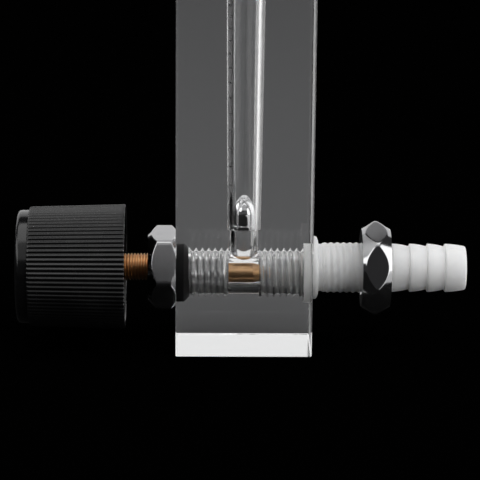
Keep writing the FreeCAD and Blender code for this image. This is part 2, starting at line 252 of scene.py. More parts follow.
def turnedPiece(name, corners, material, axis="x", height=0.0, closed=True, around=128, threads=()):
    # a profile with rounded corners carried round the axis, with a helical sheet for each thread
    path = roundedProfile(corners, closed)
    runs = list(zip(path, np.roll(path, -1, axis=0)))
    if not closed:
        runs.pop()
    sheets = []
    for start, end in runs:
        for thread in threads:
            ends = np.array(threadEnds(thread))
            if np.allclose((start, end), ends) or np.allclose((end, start), ends):
                sheets.append(threadSheet(thread, axis, height, around))
                break
        else:
            rows = np.array([start, end])
            sheets.append(turnedSheet(rows[:, :1], rows[:, 1:], axis, height, around))
    return makeMesh(name, sheets, [material])


def dress(piece, body, slot, *nodes):
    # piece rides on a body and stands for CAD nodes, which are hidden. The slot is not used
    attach(piece, body)
    if nodes:
        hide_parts(*nodes)
    return piece


# Shared shader groups

groupShape = {
    "fineScale": 4.0,
    "fineShare": 0.4,
    "patchSpan": (0.35, 0.65),
    "wornSpan": (0.52, 0.6),
    "upwardSpan": (0.3, 1.0),
    "dustSpan": (0.42, 0.7),
}


def newGroup(name, inputs, outputs):
    # a group with number inputs, each with its usual value, and number outputs
    group = bpy.data.node_groups.new(name, "ShaderNodeTree")
    for label, value in inputs.items():
        socket = group.interface.new_socket(label, in_out="INPUT", socket_type="NodeSocketFloat")
        socket.default_value = value
    for label in outputs:
        group.interface.new_socket(label, in_out="OUTPUT", socket_type="NodeSocketFloat")
    entry = group.nodes.new("NodeGroupInput")
    leave = group.nodes.new("NodeGroupOutput")
    return group, entry.outputs, leave.inputs


def addNode(tree, kind, settings=None, **inputs):
    # one node, with its settings and its inputs set or linked. An input is given by its name, with
    # _ for a space, or by its number after an i
    node = tree.nodes.new(kind)
    for key, value in (settings or {}).items():
        setattr(node, key, value)
    for key, value in inputs.items():
        socket = node.inputs[int(key[1:])] if key[1:].isdigit() else node.inputs[key.replace("_", " ")]
        if isinstance(value, bpy.types.NodeSocket):
            tree.links.new(value, socket)
        else:
            socket.default_value = value
    return node


def mathNode(tree, operation, first, second=0.0, third=0.0):
    node = addNode(tree, "ShaderNodeMath", {"operation": operation}, i0=first, i1=second, i2=third)
    return node.outputs[0]


def noiseNode(tree, place, scale, detail=2.0):
    node = addNode(tree, "ShaderNodeTexNoise", None, Vector=place, Scale=scale, Detail=detail)
    return node.outputs["Fac"]


def rangeNode(tree, value, low, high, newLow=0.0, newHigh=1.0):
    # carries the range low to high over to newLow to newHigh, and holds what lies outside
    node = addNode(
        tree, "ShaderNodeMapRange", None, Value=value, i1=low, i2=high, i3=newLow, i4=newHigh
    )
    return node.outputs[0]


def objectPlace(tree):
    return tree.nodes.new("ShaderNodeTexCoord").outputs["Object"]


def surfaceShape(tree):
    return tree.nodes.new("ShaderNodeNewGeometry").outputs


def splitVector(tree, vector):
    return addNode(tree, "ShaderNodeSeparateXYZ", None, Vector=vector).outputs


def makeGrainGroup():
    # fine surface grain: two noises of the object's own coordinates, one finer and weaker, and
    # patches from a third
    group, entry, leave = newGroup(
        "surfaceGrain", {"Scale": 900.0, "Patches": 60.0}, ("Height", "Patch")
    )
    place = objectPlace(group)
    coarse = noiseNode(group, place, entry["Scale"])
    fineScale = mathNode(group, "MULTIPLY", entry["Scale"], groupShape["fineScale"])
    fine = noiseNode(group, place, fineScale)
    patch = noiseNode(group, place, entry["Patches"], detail=4.0)
    height = mathNode(group, "ADD", coarse, mathNode(group, "MULTIPLY", fine, groupShape["fineShare"]))
    group.links.new(height, leave["Height"])
    group.links.new(rangeNode(group, patch, *groupShape["patchSpan"]), leave["Patch"])
    return group


def makeLatheLineGroup():
    # turning marks: a noise of the place along the turned axis alone, so that it forms rings.
    # The axis is x where "Along Z" is 0, and z where it is 1
    group, entry, leave = newGroup("turningMarks", {"Along Z": 0.0, "Scale": 3000.0}, ("Height",))
    place = splitVector(group, objectPlace(group))
    difference = mathNode(group, "SUBTRACT", place["Z"], place["X"])
    along = mathNode(group, "MULTIPLY_ADD", difference, entry["Along Z"], place["X"])
    vector = addNode(group, "ShaderNodeCombineXYZ", None, X=along).outputs[0]
    group.links.new(noiseNode(group, vector, entry["Scale"], detail=3.0), leave["Height"])
    return group


def makeEdgeGroup():
    # wear mask: how sharply the surface stands out, broken up by a noise
    group, entry, leave = newGroup("edgeWear", {"Amount": 1.0, "Breakup": 500.0}, ("Mask",))
    standsOut = rangeNode(group, surfaceShape(group)["Pointiness"], *groupShape["wornSpan"])
    noise = noiseNode(group, objectPlace(group), entry["Breakup"], detail=3.0)
    broken = mathNode(group, "MULTIPLY", standsOut, noise)
    mask = mathNode(group, "MULTIPLY", broken, entry["Amount"])
    group.links.new(mathNode(group, "MINIMUM", mask, 1.0), leave["Mask"])
    return group


def makeDustGroup():
    # dust mask: faces that point up, times a soft noise
    group, entry, leave = newGroup("settledDust", {"Amount": 0.2, "Scale": 260.0}, ("Mask",))
    facing = splitVector(group, surfaceShape(group)["Normal"])
    upward = rangeNode(group, facing["Z"], *groupShape["upwardSpan"])
    noise = noiseNode(group, objectPlace(group), entry["Scale"], detail=6.0)
    spots = rangeNode(group, noise, *groupShape["dustSpan"])
    both = mathNode(group, "MULTIPLY", upward, spots)
    group.links.new(mathNode(group, "MULTIPLY", both, entry["Amount"]), leave["Mask"])
    return group


grainGroup = makeGrainGroup()
latheGroup = makeLatheLineGroup()
edgeGroup = makeEdgeGroup()
dustGroup = makeDustGroup()
print("stage: shader groups made")


# Materials

# A look holds plain values of its shader, the scales of the grain and of its patches, the two
# colours and the two roughnesses between which the patches blend, and the strength and height, in
# metres, of the bumps. Some add a painted shade at thread roots, turning marks, or wear and dust
# with an amount and a colour

acrylicShader = {"IOR": 1.49, "Transmission Weight": 1.0}
metalShader = {"Metallic": 1.0}
acrylicTint = (0.955, 0.96, 0.962)
groundTints = ((0.985, 0.985, 0.982), (0.95, 0.95, 0.95))
ridgeSpan = (0.44, 0.54)  # pointiness at a thread's roots and at its ridges
groundAcrylic = {"shader": acrylicShader, "grain": (1500.0, 120.0), "colours": groundTints}
platedMetal = {
    "shader": metalShader,
    "grain": (500.0, 90.0),
    "dust": (0.12, (0.55, 0.55, 0.54)),
    "marks": {"Scale": 4500.0},
    "bump": (0.06, 0.00005),
}
mouldedPlastic = {
    "shader": {},
    "colours": ((0.003, 0.003, 0.0033), (0.005, 0.005, 0.0053)),
    "wear": (0.5, (0.014, 0.014, 0.015)),
    "dust": (0.16, (0.04, 0.04, 0.04)),
}
looks = {
    "clearAcrylic": {
        "shader": {**acrylicShader, "Roughness": 0.0},
        "grain": (40.0, 25.0),
        "colours": (acrylicTint, tuple(0.99 * part for part in acrylicTint)),
        "bump": (0.02, 0.0004),
    },
    "machinedAcrylic": {
        "shader": acrylicShader,
        "grain": (700.0, 220.0),
        "colours": (acrylicTint, (0.93, 0.93, 0.93)),
        "roughness": (0.05, 0.1),
    },
    "threadAcrylic": {
        "shader": {**acrylicShader, "Transmission Weight": 0.75},
        "grain": (700.0, 220.0),
        "colours": groundTints,
        # painted shade: the thread roots are coloured near black, where the grooves fall into shade
        "paintedRootShade": (0.05, 0.05, 0.053),
        "roughness": (0.04, 0.08),
    },
    "footAcrylic": {**groundAcrylic, "roughness": (0.1, 0.14)},
    "backAcrylic": {**groundAcrylic, "roughness": (0.85, 0.95)},
    "chromePlate": {
        **platedMetal,
        "colours": ((0.5, 0.5, 0.51), (0.44, 0.44, 0.45)),
        "roughness": (0.1, 0.17),
    },
    "polishedSteel": {
        **platedMetal,
        "colours": ((0.78, 0.78, 0.79), (0.72, 0.72, 0.73)),
        "marks": {"Scale": 4500.0, "Along_Z": 1.0},
        "roughness": (0.03, 0.07),
        "bump": (0.03, 0.00005),
    },
    "platedSteel": {
        **platedMetal,
        "colours": ((0.6, 0.6, 0.58), (0.5, 0.5, 0.49)),
        "roughness": (0.25, 0.4),
    },
    "turnedBrass": {
        "shader": metalShader,
        "grain": (800.0, 140.0),
        "colours": ((0.82, 0.5, 0.26), (0.7, 0.4, 0.19)),
        "wear": (1.2, (0.88, 0.6, 0.34)),
        "marks": {"Scale": 3800.0},
        "marksRoughen": True,
        "roughness": (0.24, 0.42),
        "bump": (0.08, 0.00006),
    },
    "whiteNylon": {
        "shader": {
            "Subsurface Weight": 0.8,
            "Subsurface Radius": (1.0, 0.98, 0.94),
            "Subsurface Scale": 0.003,
        },
        "grain": (1100.0, 160.0),
        "colours": ((0.96, 0.96, 0.95), (0.94, 0.94, 0.93)),
        "dust": (0.1, (0.82, 0.82, 0.8)),
        "roughness": (0.34, 0.46),
        "bump": (0.12, 0.00006),
    },
    "ribbedPlastic": {
        **mouldedPlastic,
        "grain": (1200.0, 130.0),
        "roughness": (0.2, 0.3),
        "bump": (0.1, 0.00006),
    },
    "capPlastic": {
        **mouldedPlastic,
        "grain": (1500.0, 130.0),
        "roughness": (0.13, 0.2),
        "bump": (0.04, 0.00006),
    },
    "blackRubber": {
        "shader": {"Specular IOR Level": 0.2},
        "grain": (1600.0, 300.0),
        "colours": ((0.003, 0.003, 0.003), (0.006, 0.006, 0.006)),
        "roughness": (0.45, 0.6),
        "bump": (0.1, 0.00005),
    },
    "paleGasket": {
        "shader": {
            "Subsurface Weight": 0.3,
            "Subsurface Radius": (1.0, 1.0, 0.95),
            "Subsurface Scale": 0.001,
        },
        "grain": (900.0, 200.0),
        "colours": ((0.95, 0.95, 0.94), (0.92, 0.92, 0.91)),
        "roughness": (0.4, 0.55),
    },
    "printedInk": {
        "shader": {},
        "grain": (2500.0, 700.0),
        "colours": ((0.012, 0.012, 0.013), (0.022, 0.022, 0.024)),
        "roughness": (0.4, 0.55),
    },
}


def startMaterial(name, constants):
    material = bpy.data.materials.new(name)
    material.use_nodes = True
    tree = material.node_tree
    shader = tree.nodes["Principled BSDF"]
    for label, value in constants.items():
        shader.inputs[label].default_value = value
    return material, tree, shader


def useGroup(tree, group, **inputs):
    return addNode(tree, "ShaderNodeGroup", {"node_tree": group}, **inputs).outputs


def blendColour(tree, mask, first, second):
    # first where the mask is 0, second where it is 1. Each is a colour or a socket
    node = tree.nodes.new("ShaderNodeMix")
    node.data_type = "RGBA"
    tree.links.new(mask, node.inputs[0])
    for socket, value in zip((node.inputs[6], node.inputs[7]), (first, second)):
        if isinstance(value, bpy.types.NodeSocket):
            tree.links.new(value, socket)
        else:
            socket.default_value = (*value, 1.0)
    return node.outputs[2]


def surfaceColour(tree, look, patch):
    # the patches' colour, with painted shade towards thread roots, then worn, then dusty
    colour = blendColour(tree, patch, *look["colours"])
    # painted shade: near black towards the thread roots, found by pointiness
    if "paintedRootShade" in look:
        ridge = rangeNode(tree, surfaceShape(tree)["Pointiness"], *ridgeSpan)
        colour = blendColour(tree, ridge, look["paintedRootShade"], colour)
    for layer, group in (("wear", edgeGroup), ("dust", dustGroup)):
        if layer in look:
            amount, layerColour = look[layer]
            mask = useGroup(tree, group, Amount=amount)["Mask"]
            colour = blendColour(tree, mask, colour, layerColour)
    return colour


def makeFinish(name, look):
    # roughness follows the patches or the turning marks, and the bumps are grain or those marks
    material, tree, shader = startMaterial(name, look["shader"])
    grainScale, patchScale = look["grain"]
    grain = useGroup(tree, grainGroup, Scale=grainScale, Patches=patchScale)
    tree.links.new(surfaceColour(tree, look, grain["Patch"]), shader.inputs["Base Color"])
    height = grain["Height"]
    if "marks" in look:
        height = useGroup(tree, latheGroup, **look["marks"])["Height"]
    if "roughness" in look:
        mask = height if "marksRoughen" in look else grain["Patch"]
        roughness = rangeNode(tree, mask, 0.0, 1.0, *look["roughness"])
        tree.links.new(roughness, shader.inputs["Roughness"])
    if "bump" in look:
        strength, distance = look["bump"]
        bump = addNode(tree, "ShaderNodeBump", None, Height=height, Strength=strength, Distance=distance)
        tree.links.new(bump.outputs[0], shader.inputs["Normal"])
    return material


finish = {name: makeFinish(name, look) for name, look in looks.items()}
print("stage: materials made")


# Clear block

blockShape = {
    "edge": 0.3,
    "threadRadius": 6.0,
    "threadDepth": 0.85,
    "threadPitch": 1.5,
    "frontCrest": -12.7,
    "backCrest": 5.0,
    "counterboreRadius": 7.1,
    "counterboreDepth": 2.0,
    "valveCounterboreDepth": 1.85,
    "chamberRadius": 5.2,
    "chamberFront": -3.6,
    "chamberBack": 3.6,
    "riserRadius": 3.5,
    "ledgeHeight": 28.9,
    "boreBottomRadius": 4.12,
    "boreTopRadius": 4.9,
    "outletThreadEnd": 5.8,
    "plugThreadDepth": 12.0,
    "crestOffset": 0.6,
    "overrun": 1.0,
    "around": 160,
    "faceTolerance": 0.01,
}
screwGap = 0.07  # between a screwed-in piece's thread and the block's


def portThread(start, end, crest, inside=0.0, rest=0.0):
    # the block's own thread, or with "inside" the thread of a piece screwed into it
    shape = blockShape
    radius = shape["threadRadius"] - inside
    return makeThread(start, end, radius, shape["threadDepth"], shape["threadPitch"], crest, rest)


outletCrest = blockShape["outletThreadEnd"] + blockShape["crestOffset"]
plugThreadStart = blockTop - blockShape["plugThreadDepth"]
plugCrest = plugThreadStart + blockShape["crestOffset"]


def portConeEnd():
    # where the front counterbore's cone meets the thread
    reach = blockShape["counterboreRadius"] - blockShape["threadRadius"]
    return frontFace + blockShape["valveCounterboreDepth"] + reach


def cavityPiece(name, corners, materials, height, threads, axis="x"):
    # the last two materials are those of the bored and of the tapped faces
    around = blockShape["around"]
    cavity = turnedPiece(
        name, corners, materials[0], axis, height, closed=False, around=around, threads=threads
    )
    for material in materials[1:]:
        cavity.data.materials.append(material)
    centres = np.empty(3 * len(cavity.data.polygons))
    cavity.data.polygons.foreach_get("center", centres)
    along = centres.reshape(-1, 3)[:, 0 if axis == "x" else 2] / mm
    tapped = np.zeros(len(along), bool)
    for thread in threads:
        tapped |= (along > thread["start"]) & (along < thread["end"])
    indices = np.where(tapped, len(materials) - 1, len(materials) - 2).astype(np.int32)
    cavity.data.polygons.foreach_set("material_index", indices)
    return cavity


def makeLowerCavity(materials):
    # through port: counterbore and cone, thread, valve chamber, thread, counterbore
    shape = blockShape
    backStart = backFace - shape["counterboreDepth"]
    front = portThread(portConeEnd(), shape["chamberFront"], shape["frontCrest"])
    back = portThread(shape["chamberBack"], backStart, shape["backCrest"])
    corners = [
        (frontFace - shape["overrun"], 0),
        (frontFace - shape["overrun"], shape["counterboreRadius"]),
        (frontFace + shape["valveCounterboreDepth"], shape["counterboreRadius"]),
        *threadEnds(front),
        (shape["chamberFront"], shape["chamberRadius"]),
        (shape["chamberBack"], shape["chamberRadius"]),
        *threadEnds(back),
        (backStart, shape["counterboreRadius"]),
        (backFace + shape["overrun"], shape["counterboreRadius"]),
        (backFace + shape["overrun"], 0),
    ]
    return cavityPiece("lowerCavity", corners, materials, portHeight, (front, back))


def makeUpperCavity(materials):
    # outlet passage, thread and counterbore
    shape = blockShape
    backStart = backFace - shape["counterboreDepth"]
    thread = portThread(shape["outletThreadEnd"], backStart, outletCrest)
    corners = [
        (0, 0),
        (0, shape["riserRadius"]),
        (shape["outletThreadEnd"], shape["riserRadius"]),
        *threadEnds(thread),
        (backStart, shape["counterboreRadius"]),
        (backFace + shape["overrun"], shape["counterboreRadius"]),
        (backFace + shape["overrun"], 0),
    ]
    return cavityPiece("upperCavity", corners, materials, outletHeight, (thread,))


def makeBoreCavity(materials):
    # riser, ledge, tapered bore, plug thread and counterbore
    shape = blockShape
    threadEnd = blockTop - shape["counterboreDepth"]
    thread = portThread(plugThreadStart, threadEnd, plugCrest)
    corners = [
        (portHeight, 0),
        (portHeight, shape["riserRadius"]),
        (shape["ledgeHeight"], shape["riserRadius"]),
        (shape["ledgeHeight"], shape["boreBottomRadius"]),
        (plugThreadStart, shape["boreTopRadius"]),
        *threadEnds(thread),
        (threadEnd, shape["counterboreRadius"]),
        (blockTop + shape["overrun"], shape["counterboreRadius"]),
        (blockTop + shape["overrun"], 0),
    ]
    return cavityPiece("boreCavity", corners, materials, 0.0, (thread,), axis="z")


def subtract(piece, cutters):
    # cuts meshes out of a piece. The cut faces keep the cutters' materials
    for cutter in cutters:
        cut = piece.modifiers.new("cut", "BOOLEAN")
        cut.operation = "DIFFERENCE"
        cut.solver = "EXACT"
        cut.object = cutter
    result = finishedMesh(piece)
    piece.modifiers.clear()
    piece.data = result
    for cutter in cutters:
        bpy.data.objects.remove(cutter)


def boxPiece(name, low, high, material, edge=0.0):
    # box between two corners, with small round edges
    work = bmesh.new()
    bmesh.ops.create_cube(work, size=1.0)
    low, high = Vector(low) * mm, Vector(high) * mm
    work.transform(Matrix.Translation((low + high) / 2) @ Matrix.Diagonal((*(high - low), 1.0)))
    if edge:
        bmesh.ops.bevel(
            work, geom=list(work.edges), offset=edge * mm, segments=3, profile=0.5, affect="EDGES"
        )
    mesh = bpy.data.meshes.new(name)
    work.to_mesh(mesh)
    work.free()
    mesh.materials.append(material)
    return addObject(name, mesh)


def makeBlock():
    # a box with round edges, less the three turned cavities. Only the cavities' faces shade
    # smoothly. The foot and the back are ground, the other faces polished
    kinds = ("clearAcrylic", "footAcrylic", "backAcrylic", "machinedAcrylic", "threadAcrylic")
    materials = [finish[kind] for kind in kinds]
    block = boxPiece("clearBlock", blockLow, blockHigh, materials[0], blockShape["edge"])
    for material in materials[1:]:
        block.data.materials.append(material)
    lowest = (blockLow[2] + blockShape["faceTolerance"]) * mm
    furthest = (backFace - blockShape["faceTolerance"]) * mm
    for face in block.data.polygons:
        isFoot, isBack = face.center.z < lowest, face.center.x > furthest
        face.material_index = 1 if isFoot else 2 if isBack else 0
    subtract(block, [maker(materials) for maker in (makeLowerCavity, makeUpperCavity, makeBoreCavity)])
    shadeSmooth(block.data)
    for face in block.data.polygons:
        face.use_smooth = face.material_index >= len(materials) - 2
    return dress(block, "housing", "clear_acrylic", "meter_block")


clearBlock = makeBlock()
print("stage: block made,", len(clearBlock.data.polygons), "faces")


# Printed scale on the front face

scaleShape = {
    "firstTick": 32.6,
    "firstStep": 4.86,
    "stepLoss": 0.09,
    "ticks": 17,
    "ticksPerNumber": 4,
    "shortTick": (-1.6, 4.0),
    "longTick": (-3.0, 5.4),
    "line": 0.32,
    "lift": 0.012,
    "inkThickness": 0.02,
    "numberHeight": 3.0,
    "sizePerHeight": 1.4,
    "numberPlace": 9.0,
}


def makeScaleTicks():
    # tick n stands at first + step * n - loss * n squared, because the bore's taper closes them up.
    # Gives the heights of the long ticks, which have numbers
    shape = scaleShape
    number = np.arange(shape["ticks"])
    heights = shape["firstTick"] + shape["firstStep"] * number - shape["stepLoss"] * number**2
    isLong = number % shape["ticksPerNumber"] == 0
    left = np.where(isLong, shape["longTick"][0], shape["shortTick"][0])
    right = np.where(isLong, shape["longTick"][1], shape["shortTick"][1])
    outer = frontFace - shape["lift"] - shape["inkThickness"]
    inner = frontFace - shape["lift"]
    work = bmesh.new()
    for low, high, height in zip(left, right, heights):
        bar = bmesh.ops.create_cube(work, size=1.0)["verts"]
        place = Matrix.Translation(Vector(((outer + inner) / 2, (low + high) / 2, height)) * mm)
        stretch = Matrix.Diagonal(
            (shape["inkThickness"] * mm, (high - low) * mm, shape["line"] * mm, 1.0)
        )
        bmesh.ops.transform(work, matrix=place @ stretch, verts=bar)
    mesh = bpy.data.meshes.new("scaleTicks")
    work.to_mesh(mesh)
    work.free()
    mesh.materials.append(finish["printedInk"])
    dress(cleanMesh("scaleTicks", mesh), "housing", "black_plastic")
    return heights[isLong]


def makeScaleNumber(label, height):
    # one plain number, turned so that its front faces the knob's side
    shape = scaleShape
    text = bpy.data.curves.new(f"scaleNumber{label}", "FONT")
    text.body = str(label)
    text.size = shape["numberHeight"] * mm * shape["sizePerHeight"]
    text.extrude = shape["inkThickness"] * mm / 2
    text.align_x = "CENTER"
    text.align_y = "CENTER"
    holder = addObject(f"scaleNumber{label}", text)
    mesh = finishedMesh(holder)
    bpy.data.objects.remove(holder)
    # a text reads along x and faces z. Here it reads towards -y, stands along z and faces -x
    turn = Matrix(((0, 0, -1, 0), (-1, 0, 0, 0), (0, 1, 0, 0), (0, 0, 0, 1)))
    middle = frontFace - shape["lift"] - shape["inkThickness"] / 2
    place = Matrix.Translation(Vector((middle, shape["numberPlace"], height)) * mm)
    mesh.transform(place @ turn)
    mesh.materials.clear()
    mesh.materials.append(finish["printedInk"])
    number = cleanMesh(f"scaleNumber{label}", mesh)
    return dress(number, "housing", "black_plastic")


for label, height in enumerate(makeScaleTicks()):
    makeScaleNumber(label, height)
print("stage: scale printed")


# Float and top plug

floatShape = {
    "radius": 3.95,
    "seatGap": 0.05,
    "side": 3.3,
    "dome": 4.1,
    "height": 4.0,
    "flatRadius": 1.25,
    "noseRadius": 3.2,
    "noseTip": 1.5,
    "noseLength": 0.9,
    "noseRound": 0.25,
    "edgeRound": 0.12,
    "flatRound": 0.05,
    "grooveStart": 0.9,
    "grooveEnd": 1.35,
    "grooveSlope": 0.1,
    "grooveDepth": 0.08,
    "domeEndShare": 0.96,
    "domeSteps": 28,
}


def makeFloat():
    # short nose, straight side with a fine groove, dome z = side + dome * sin(t), r = radius * cos(t)
    # up to a share of the flat on top
    shape = floatShape
    seat = blockShape["ledgeHeight"] + shape["seatGap"]
    sideTop = seat + shape["side"]
    grooveRadius = shape["radius"] - shape["grooveDepth"]
    lastAngle = math.acos(shape["flatRadius"] * shape["domeEndShare"] / shape["radius"])
    turn = np.linspace(0, lastAngle, shape["domeSteps"])
    dome = np.stack(
        [sideTop + shape["dome"] * np.sin(turn), shape["radius"] * np.cos(turn)], axis=-1
    )
    top = sideTop + shape["height"]
    corners = [
        (seat - shape["noseLength"], 0),
        (seat - shape["noseLength"], shape["noseTip"], shape["noseRound"]),
        (seat, shape["noseRadius"], fineRound),
        (seat, shape["radius"], shape["edgeRound"]),
        (seat + shape["grooveStart"], shape["radius"]),
        (seat + shape["grooveStart"] + shape["grooveSlope"], grooveRadius),
        (seat + shape["grooveEnd"] - shape["grooveSlope"], grooveRadius),
        (seat + shape["grooveEnd"], shape["radius"]),
        *[tuple(point) for point in dome],
        (top, shape["flatRadius"], shape["flatRound"]),
        (top, 0),
    ]
    piece = turnedPiece("steelFloat", corners, finish["polishedSteel"], "z", closed=False)
    return dress(piece, "metering_float", "polished_steel", "steel_float")


plugShape = {
    "stopHole": 1.26,
    "holeDepth": 4.0,
    "neckRadius": 4.9,
    "rimRadius": 6.9,
    "rimRound": 0.2,
    "dish": 0.25,
    "dishSlope": 0.3,
    "headRound": 0.15,
    "edge": 0.6,
    "slotWidth": 1.8,
    "slotDepth": 1.5,
}


def makePlug():
    # slotted head with a shallow dish, neck, thread, hole for the stop
    shape = plugShape
    low, high = nodeBox("top_plug")
    headRadius = (high[0] - low[0]) / 2
    headTop, shankEnd = high[2], low[2]
    seat = blockTop - blockShape["counterboreDepth"]
    thread = portThread(shankEnd, seat, plugCrest, inside=screwGap, rest=1.0)
    corners = [
        (shankEnd + shape["holeDepth"], 0),
        (shankEnd + shape["holeDepth"], shape["stopHole"]),
        (shankEnd, shape["stopHole"], fineRound),
        *threadEnds(thread),
        (seat, shape["neckRadius"]),
        (blockTop, shape["neckRadius"]),
        (blockTop, headRadius, shape["headRound"]),
        (headTop, headRadius, shape["edge"]),
        (headTop, shape["rimRadius"], shape["rimRound"]),
        (headTop - shape["dish"], shape["rimRadius"] - shape["dishSlope"], fineRound),
        (headTop - shape["dish"], 0),
    ]
    nylon = finish["whiteNylon"]
    plug = turnedPiece("topPlug", corners, nylon, "z", closed=False, threads=(thread,))
    slotLow = (-2 * headRadius, -shape["slotWidth"] / 2, headTop - shape["slotDepth"])
    slotHigh = (2 * headRadius, shape["slotWidth"] / 2, headTop + blockShape["overrun"])
    subtract(plug, [boxPiece("slot", slotLow, slotHigh, nylon)])
    shadeSmooth(plug.data)
    return dress(plug, "housing", "white_nylon", "top_plug")


makeFloat()
makePlug()
print("stage: float and plug made")


# Hexagon pieces

hexSteps = 288
hexSmoothAngle = math.radians(35)


def softLower(first, second, width):
    # the smaller of two, with a round change over "width"
    share = np.clip(0.5 + (second - first) / (2 * width), 0, 1)
    return second + (first - second) * share - width * share * (1 - share)


def hexRadius(angle, acrossFlats, turn, cornerRound):
    # distance to the hexagon's flat, softly held below a circle through its rounded corners
    sixth = fullTurn / 6
    fromFlat = (angle + math.radians(turn) + sixth / 2) % sixth - sixth / 2
    flat = acrossFlats / 2 / np.cos(fromFlat)
    return softLower(flat, acrossFlats / math.sqrt(3) - cornerRound + 0 * flat, cornerRound)


def hexPiece(name, shape, chamfer, inside, height):
    # outer surface r = the softer of hexagon and turned chamfer, on a grid of angle and place,
    # then the faces and the bore as more rows of the same grid
    flats = hexRadius(turnAngles(hexSteps), shape["acrossFlats"], shape["turn"], shape["cornerRound"])
    places = np.linspace(shape["near"], shape["far"], shape["rows"])[:, None]
    radius = softLower(flats + 0 * places, chamfer(places) + 0 * flats, shape["edgeRound"])
    along = places + 0 * flats
    for place, ringRadius in (*inside, (along[0, 0], radius[:1])):
        along = np.vstack([along, np.full_like(flats, place)])
        radius = np.vstack([radius, ringRadius + 0 * flats])
    sheet = turnedSheet(along, radius, "x", height, hexSteps)
    return makeMesh(name, [sheet], [finish["chromePlate"]], angle=hexSmoothAngle)


nutShape = {
    "acrossFlats": 19.5,
    "turn": 16.5,
    "near": backFace + 12.0,
    "far": backFace + 18.8,
    "faceRadius": 9.3,
    "cornerRound": 0.18,
    "edgeRound": 0.12,
    "rows": 61,
    "bore": 6.05,
    "boreChamfer": 0.6,
    "faceStep": 0.35,
}


def makeNut(name, node, body, height):
    # chamfer: two turned cones that meet at the middle of the corners, so each flat is an oval
    shape = nutShape
    middle = (shape["near"] + shape["far"]) / 2
    halfLength = (shape["far"] - shape["near"]) / 2
    cornerRadius = shape["acrossFlats"] / math.sqrt(3)
    slope = (cornerRadius - shape["faceRadius"]) / halfLength

    def chamfer(along):
        return cornerRadius - slope * np.abs(along - middle)

    mouth = shape["bore"] + shape["boreChamfer"]
    inside = [
        (shape["far"], shape["faceRadius"] - shape["faceStep"]),
        (shape["far"], mouth),
        (shape["far"] - shape["boreChamfer"], shape["bore"]),
        (shape["near"] + shape["boreChamfer"], shape["bore"]),
        (shape["near"], mouth),
        (shape["near"], shape["faceRadius"] - shape["faceStep"]),
    ]
    piece = hexPiece(name, shape, chamfer, inside, height)
    return dress(piece, body, "chrome_plate", node)


makeNut("inletNut", "inlet_nut", "lower_nut", portHeight)
makeNut("outletNut", "outlet_nut", "upper_nut", outletHeight)

headShape = {
    "acrossFlats": 17.5,
    "turn": 22.0,
    "near": frontFace - 6.6,
    "far": frontFace,
    "nearFaceRadius": 7.8,
    "farFaceRadius": 8.9,
    "cornerRound": 0.15,
    "edgeRound": 0.1,
    "rows": 67,
    "neckRadius": 4.6,
    "relief": 0.5,
    "reliefStep": 0.1,
    "overlap": 0.02,
    "leadIn": 0.6,
    "endChamfer": 0.5,
    "endGap": 0.05,
    "boreMouth": 0.6,
}
# the stem's sizes stand here because the bushing's bore and shoulder follow from them
stemShape = {
    "threadRadius": 3.25,
    "threadPitch": 0.75,
    "threadDepth": 0.42,
    "threadRest": 0.8,
    "threadRunOut": 0.5,
    "threadFlat": 0.16,
    "bodyRadius": 3.5,
    "bodyStart": frontFace + 1.1,
    "openTravel": 2.25,
    "runningGap": 0.05,
    "shoulderStart": 2.2,
    "shoulderEnd": 3.3,
    "shoulderRadius": 3.1,
    "tip": 8.3,
    "tipRadius": 1.2,
    "spigotRadius": 2.9,
    "grooveRadius": 2.2,
    "grooves": (-11.9, -8.3),
    "grooveWidth": 1.6,
    "grooveRound": 0.06,
    "spigotRound": 0.15,
    "shoulderRounds": (0.3, 0.2),
    "tipRound": 0.35,
}


def makeBushingHead(bodyBore):
    # hexagon head, chamfered on both faces, with the thread's bore and the wider one of the body
    shape = headShape
    bore = stemShape["threadRadius"] + stemShape["runningGap"]
    shoulder = stemShape["bodyStart"] - stemShape["openTravel"] - stemShape["runningGap"]

    def chamfer(along):
        front = shape["nearFaceRadius"] + (along - shape["near"])
        back = shape["farFaceRadius"] + (shape["far"] - along)
        return np.minimum(front, back)

    inside = [
        (shape["far"], shape["neckRadius"]),
        (shape["far"], bodyBore),
        (shoulder, bodyBore),
        (shoulder, bore),
        (shape["near"] + shape["boreMouth"], bore),
        (shape["near"], bore + shape["boreMouth"]),
    ]
    head = hexPiece("valveBushing", shape, chamfer, inside, portHeight)
    return dress(head, "housing", "chrome_plate", "valve_bushing")


def makeBushingShank(bodyBore):
    # shank with the same helix as the block's thread, a little inside it
    shape = headShape
    start = frontFace - shape["overlap"]
    end = blockShape["chamberFront"] - shape["endGap"]
    threadEnd = end - shape["leadIn"]
    threadStart = portConeEnd() + shape["relief"]
    thread = portThread(threadStart, threadEnd, blockShape["frontCrest"], screwGap, rest=1.0)
    root = threadEnds(thread)[0][1]
    corners = [
        (start, bodyBore),
        (start, shape["neckRadius"]),
        (threadStart - shape["reliefStep"], shape["neckRadius"], fineRound),
        *threadEnds(thread),
        (end, root - shape["endChamfer"], fineRound),
        (end, bodyBore, fineRound),
    ]
    around = blockShape["around"]
    shank = turnedPiece(
        "bushingShank", corners, finish["chromePlate"], "x", portHeight, around=around, threads=(thread,)
    )
    return dress(shank, "housing", "chrome_plate")


bushingBore = stemShape["bodyRadius"] + stemShape["runningGap"]
makeBushingHead(bushingBore)
makeBushingShank(bushingBore)
print("stage: hexagon pieces made")


# Stem, rings and seat


